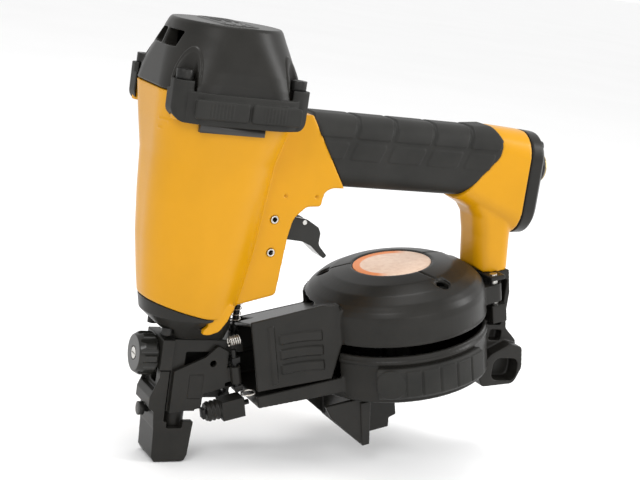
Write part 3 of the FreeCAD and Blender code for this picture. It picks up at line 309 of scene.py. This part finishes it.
MATERIALS = {
    "casting_paint": finish("yellow_enamel", (0.50, 0.232, 0.001), (0.57, 0.264, 0.0015), (0.28, 0.40),
                            patch=14.0, grain=1600.0, bump=0.08, depth=0.1, coat=0.06, specular=0.22),
    "black_shell": finish("black_nylon", (0.011, 0.0105, 0.009), (0.017, 0.016, 0.014), (0.30, 0.40),
                          patch=40.0, grain=2600.0, bump=0.10, depth=0.1, specular=0.2),
    "rubber": finish("moulded_rubber", (0.012, 0.0118, 0.0105), (0.019, 0.0185, 0.0165), (0.48, 0.62),
                     patch=50.0, grain=3200.0, bump=0.25, depth=0.15, specular=0.22),
    "seal_rubber": finish("seal_rubber", (0.014, 0.014, 0.014), (0.024, 0.024, 0.024), (0.5, 0.65)),
    "moulded_plastic": finish("moulded_plastic", (0.011, 0.011, 0.0098), (0.017, 0.0165, 0.0145),
                              (0.13, 0.22), patch=50.0, grain=2400.0, bump=0.04, depth=0.1, specular=0.27),
    "black_steel": finish("black_oxide", (0.014, 0.014, 0.014), (0.030, 0.029, 0.027), (0.30, 0.45),
                          metallic=0.6, patch=90.0, grain=2500.0, bump=0.05, depth=0.1, specular=0.3),
    "bright_steel": finish("bright_steel", (0.42, 0.41, 0.39), (0.62, 0.61, 0.58), (0.22, 0.38),
                           metallic=1.0, patch=120.0, grain=4000.0, bump=0.04, depth=0.05),
    "spring_steel": finish("spring_wire", (0.40, 0.38, 0.35), (0.60, 0.58, 0.54), (0.25, 0.4),
                           metallic=1.0, patch=200.0, grain=4000.0, bump=0.04, depth=0.05),
    "aluminium": finish("turned_aluminium", (0.52, 0.52, 0.53), (0.68, 0.68, 0.69), (0.25, 0.4),
                        metallic=1.0, patch=100.0, bump=0.04, depth=0.05, stretch=(1, 1, 8)),
    "brass": finish("turned_brass", (0.34, 0.25, 0.11), (0.52, 0.40, 0.18), (0.25, 0.4),
                    metallic=1.0, patch=120.0, bump=0.04, depth=0.05),
    "plate": finish("plate_print", (0.014, 0.013, 0.012), (0.020, 0.019, 0.017), (0.3, 0.4),
                    patch=80.0, grain=2500.0, bump=0.04, depth=0.05),
    "label": make_label(),
}


# ---------------------------------------------------------------- CAD nodes that stay

def finish_nodes():
    """Every CAD node gets its slot's material, and a narrow bevel where its edges are crisp."""
    bevel_width = 0.25
    crisp = math.radians(35)
    for node, part in frame["nodes"].items():
        dress(part, MATERIALS[SLOT_OF[node]])
        shade(part)
        step = part.modifiers.new("weld", "WELD")
        step.merge_threshold = WELD * MM
        step = part.modifiers.new("edge", "BEVEL")
        step.width = bevel_width * MM
        step.segments = 2
        step.limit_method = "ANGLE"
        step.angle_limit = crisp
        step.harden_normals = True


# ---------------------------------------------------------------- barrel, handle and cap

def make_housing():
    """Barrel, web, handle core and post, with a pointed frame and two dimples on the near side."""
    frame_x, frame_z, frame_half, frame_wall = -37.0, 204.0, 3.5, 1.0
    frame_foot = frame_z - frame_half
    dimples = ((47.1, 166.6), (67.4, 167.2))

    def relief(spots, normals):
        x, _, z = spots.T
        hole = frame_half - frame_wall
        outer = plateau(x, z, box_about(frame_x, frame_z, frame_half, frame_half), corner=1.0, soft=0.6)
        inner = plateau(x, z, box_about(frame_x, frame_z, hole, hole), corner=0.8, soft=0.6)
        pointed = 1 - smooth(0.0, 0.6, np.abs(x - frame_x) - (z - frame_foot) * 0.5)
        dents = sum(1 - smooth(0.5, 1.3, np.hypot(x - at_x, z - at_z)) for at_x, at_z in dimples)
        near_side = normals[:, 1] < -0.2
        return (0.5 * outer * (1 - inner) * pointed - 1.6 * dents) * near_side
    cast("housing_casting", "housing", voxel=0.75, rounds=7, height=relief, keep=0.3)


def make_cap():
    """Cap with a ribbed emblem on top, an arch round each screw's scallop and a rib inside it."""
    screws = [(x, y) for x in (SHELL_MID - SCREW_X, SHELL_MID + SCREW_X) for y in (-SCREW_Y, SCREW_Y)]
    scallop_radius = 7.6
    arch_foot, arch_full = 228, 233
    emblem_x, bar_pitch, bar_half = 3.0, 6.0, 0.8
    top_z = 259

    def emblem(x, y):
        """A low rim round a patch of chevron bars."""
        def patch(half_x, half_y, corner):
            return plateau(x, y, box_about(emblem_x, 0, half_x, half_y), corner, soft=0.8)
        along_bars = (x - emblem_x + 0.35 * np.abs(y)) % bar_pitch - bar_pitch / 2
        bars = band(-bar_half, bar_half, 0.6, along_bars) * patch(8, 21, corner=5.0)
        return patch(12, 26, corner=8.0) - 0.8 * patch(9.5, 23.5, corner=6.0) + bars

    def relief(spots, normals):
        x, y, z = spots.T
        raised = 0.6 * emblem(x, y) * (normals[:, 2] > 0.9) * (z > top_z)
        for screw_x, screw_y in screws:
            away = np.hypot(x - screw_x, y - screw_y) - scallop_radius
            slant = (x - screw_x) * math.copysign(1, screw_y * screw_x) + (y - screw_y) * 0.6
            raised += 0.8 * band(0.0, 1.2, 0.7, away) * smooth(arch_foot, arch_full, z)
            raised += 1.2 * band(-9.0, -0.3, 0.3, away) * band(-1.8, 1.8, 0.9, slant)
        return raised
    cast("cap_shell", "top_cap", voxel=0.5, rounds=6, height=relief, keep=0.5)


def make_bumpers():
    """Side bumpers, each with two raised panels that carry a patch of fine ribs."""
    panel_low, panel_high = 211.5, 222
    rib_low, rib_high, rib_pitch = 213, 220.5, 2.1

    def relief(spots, normals):
        x, _, z = spots.T
        panels = sum(plateau(x, z, (start, end, panel_low, panel_high), corner=2.0, soft=0.8)
                     for start, end in ((-28, 4), (5.6, 36)))
        patches = sum(band(start, end, 0.4, x) for start, end in ((-19, -6), (13, 27)))
        ribs = (0.5 + 0.5 * np.cos(x * 2 * math.pi / rib_pitch)) * patches * band(rib_low, rib_high, 0.6, z)
        face = np.abs(normals[:, 1]) > 0.6
        return face * panels * (0.5 + 0.35 * ribs)
    for side in ("near", "far"):
        cast(f"{side}_bumper_rubber", f"{side}_bumper", voxel=0.45, rounds=4, height=relief)


def make_grip():
    """Handle sleeve with two rows of raised, leaning blocks."""
    blocks = ((58, 86.5), (88.5, 112), (114, 139.5), (141.5, 166), (168, 189))
    lean_slope, lean_z = 0.32, 205
    upper_low, upper_high, upper_height = 203.5, 240, 1.1
    lower_low, lower_high, lower_height = 190.5, 201.5, 0.6

    def relief(spots, normals):
        x, _, z = spots.T
        lean = x - lean_slope * (z - lean_z)
        upper = sum(plateau(lean, z, (start, end, upper_low, upper_high), corner=1.5, soft=0.8)
                    for start, end in blocks)
        lower = sum(plateau(lean, z, (start + 1, end - 1, lower_low, lower_high), corner=2.0, soft=0.8)
                    for start, end in blocks)
        return upper_height * upper + lower_height * lower
    cast("grip_rubber", "handle_grip", voxel=0.6, rounds=3, height=relief, keep=0.6)


def make_end_cap():
    cast("end_cap_shell", "end_cap", voxel=0.6, rounds=4)


def make_trigger():
    cast("trigger_lever", "trigger", voxel=0.35, rounds=4)


# ---------------------------------------------------------------- magazine

def make_cover():
    """Cover: bowed ribs and a post on its neck, three slits with screw pockets on its dome, a rim edge."""
    rib_lows, rib_height, rib_bow, rib_crown = (-25.5, -35.0, -44.5), 5.0, 0.0040, -92
    neck_end = -55
    dome_foot, label_clear = -16, 26
    slits = ((5, -26, 12.5, -42), (-22, 14, -37, 23), (26, 5, 44, 9))
    edge_radius = 56

    def slit_depth(a, y):
        """Depth of the slits, each from its inner end to a screw pocket at its outer end."""
        deepest = 0.0
        for start_a, start_y, end_a, end_y in slits:
            run = np.array([end_a - start_a, end_y - start_y])
            share = np.clip(((a - start_a) * run[0] + (y - start_y) * run[1]) / (run @ run), 0, 1)
            away = np.hypot(a - start_a - share * run[0], y - start_y - share * run[1])
            groove = 0.7 * band(-1, 0.5, 0.6, away)
            pocket = 1.3 * (1 - smooth(4.0, 5.2, away)) * smooth(0.72, 0.95, share)
            deepest = np.maximum(deepest, np.maximum(groove, pocket))
        return deepest

    def relief(spots, normals):
        a, y, m = in_magazine(spots)
        bowed = m + rib_bow * (a - rib_crown) ** 2
        ribs = band(-91, -64, 0.9, a) * sum(band(low, low + rib_height, 0.9, bowed) for low in rib_lows)
        post = band(-97.5, -94.5, 0.8, a) * band(-50, -14, 1.0, m)
        neck = (normals[:, 1] < -0.5) & (a < neck_end)
        dome = (normals @ MAG_M > 0.2) & (m > dome_foot) & (np.hypot(a, y) > label_clear)
        edge = band(-37, -33.8, 0.5, m) * (np.hypot(a, y) > edge_radius) * (y < 0) * (a > -50)
        return neck * (1.5 * ribs + 1.0 * post) - dome * slit_depth(a, y) + 0.4 * edge
    cast("cover_shell", "magazine_cover", voxel=0.5, rounds=12, height=relief, keep=0.3)


def make_base():
    """Tray with two ridges round its wall."""
    wall_radius, neck_half = 56.5, 10

    def relief(spots, normals):
        a, y, m = in_magazine(spots)
        outside = (np.hypot(a, y) > wall_radius) & (np.abs(y) > neck_half)
        ridges = band(-46.4, -44.6, 0.6, m) + 0.6 * band(-71.5, -70, 0.6, m)
        return 0.9 * ridges * outside * (normals @ MAG_M < 0.6)
    cast("base_tray", "magazine_base", voxel=0.6, rounds=4, height=relief, keep=0.35)


def make_pads():
    """Rubber pads, cut into blocks round the coil's axis, with a round knob at their front end."""
    block_edges = (70, 81, 92, 103, 114)
    blocks_end = 112
    knob_turn, knob_m, knob_radius = 121, -58, 9.5
    mm_per_degree = 1.05

    def relief(spots, normals):
        a, y, m = in_magazine(spots)
        turn = np.degrees(np.arctan2(np.abs(y), a))
        gaps = sum(band(edge - 0.35, edge + 0.35, 0.5, turn) for edge in block_edges)
        blocks = band(-65.5, -50.5, 1.0, m) * 0.9 * (1 - np.clip(gaps, 0, 1)) * (turn < blocks_end)
        past_knob = np.hypot((turn - knob_turn) * mm_per_degree, m - knob_m) - knob_radius
        return blocks + 0.6 * (1 - smooth(-0.8, 0, past_knob))
    for side in ("near", "far"):
        cast(f"{side}_pad_rubber", f"{side}_pad", voxel=0.5, rounds=4, height=relief)


def make_bracket():
    cast("bracket_shell", "rear_bracket", voxel=0.55, rounds=4, keep=0.6)


def make_guide():
    cast("shingle_gauge", "shingle_guide", voxel=0.45, rounds=2)


# ---------------------------------------------------------------- nose

def make_nose():
    cast("nose_flange", "nose_mount", voxel=0.5, rounds=5, keep=0.7)
    cast("contact_boot", "contact_foot", voxel=0.4, rounds=3, keep=0.7)
    cast("door_casting", "nose_door", voxel=0.35, rounds=2)
    cast("latch_shell", "door_latch", voxel=0.35, rounds=2)
    cast("bracket_block", "depth_bracket", voxel=0.4, rounds=2)
    cast("knob_grip", "depth_knob", voxel=0.35, rounds=2)
    cast("guide_casting", "driver_guide", voxel=0.45, rounds=2)


# ---------------------------------------------------------------- stage, with places and sizes in metres

def make_camera():
    """The camera that was fitted to the photograph."""
    data = bpy.data.cameras.new("camera")
    data.lens = 81.66
    data.sensor_width = 36.0
    camera = new_object("camera", data)
    place = Vector((-0.31458, -0.77689, 0.31179))
    azimuth, pitch, roll = (math.radians(v) for v in (27.06, 11.31, 8.55))
    ahead = Vector((math.sin(azimuth) * math.cos(pitch), math.cos(azimuth) * math.cos(pitch),
                    -math.sin(pitch)))
    level = ahead.cross(Vector((0, 0, 1))).normalized()
    upright = level.cross(ahead)
    right = level * math.cos(roll) + upright * math.sin(roll)
    up = upright * math.cos(roll) - level * math.sin(roll)
    turn = Matrix((right, up, -ahead)).transposed().to_4x4()
    camera.matrix_world = Matrix.Translation(place) @ turn
    bpy.context.scene.camera = camera


def make_lamp(name, spot, size, power):
    """Rectangular lamp that faces the middle of the nailer."""
    data = bpy.data.lights.new(name, "AREA")
    data.shape = "RECTANGLE"
    data.size, data.size_y = size
    data.energy = power
    lamp = new_object(name, data)
    away = Vector(spot) - Vector((0.08, 0.0, 0.14))
    lamp.matrix_world = Matrix.Translation(Vector(spot)) @ away.to_track_quat("Z", "Y").to_matrix().to_4x4()


def make_stage():
    """White floor and surroundings, and four lamps."""
    half, level = 40.0 / MM, -0.6       # these two in mm, like all that mesh_from takes
    floor = mesh_from("floor", [(-half, -half, level), (half, -half, level), (half, half, level),
                                (-half, half, level)], [(0, 1, 2, 3)])
    dress(floor, finish("floor_paper", (0.93, 0.93, 0.93), (0.95, 0.95, 0.95), (0.8, 0.9), patch=2.0,
                        grain=400.0, specular=0.1))
    world = bpy.data.worlds.new("studio")
    world.use_nodes = True
    world.node_tree.nodes["Background"].inputs["Color"].default_value = (1.0, 1.0, 1.0, 1.0)
    world.node_tree.nodes["Background"].inputs["Strength"].default_value = 1.0
    bpy.context.scene.world = world
    bpy.context.scene.view_settings.view_transform = "Standard"
    make_lamp("key", (-0.9, -1.0, 1.1), (0.5, 0.5), 7.0)
    make_lamp("front", (0.2, -1.6, 0.5), (0.9, 0.5), 3.0)
    make_lamp("right", (1.3, -0.5, 0.8), (0.35, 0.8), 9.0)
    make_lamp("top", (0.1, 0.2, 1.6), (0.6, 0.6), 7.0)


make_camera()
make_stage()
finish_nodes()
make_housing()
make_cap()
make_bumpers()
make_grip()
make_end_cap()
make_trigger()
make_cover()
make_base()
make_pads()
make_bracket()
make_guide()
make_nose()
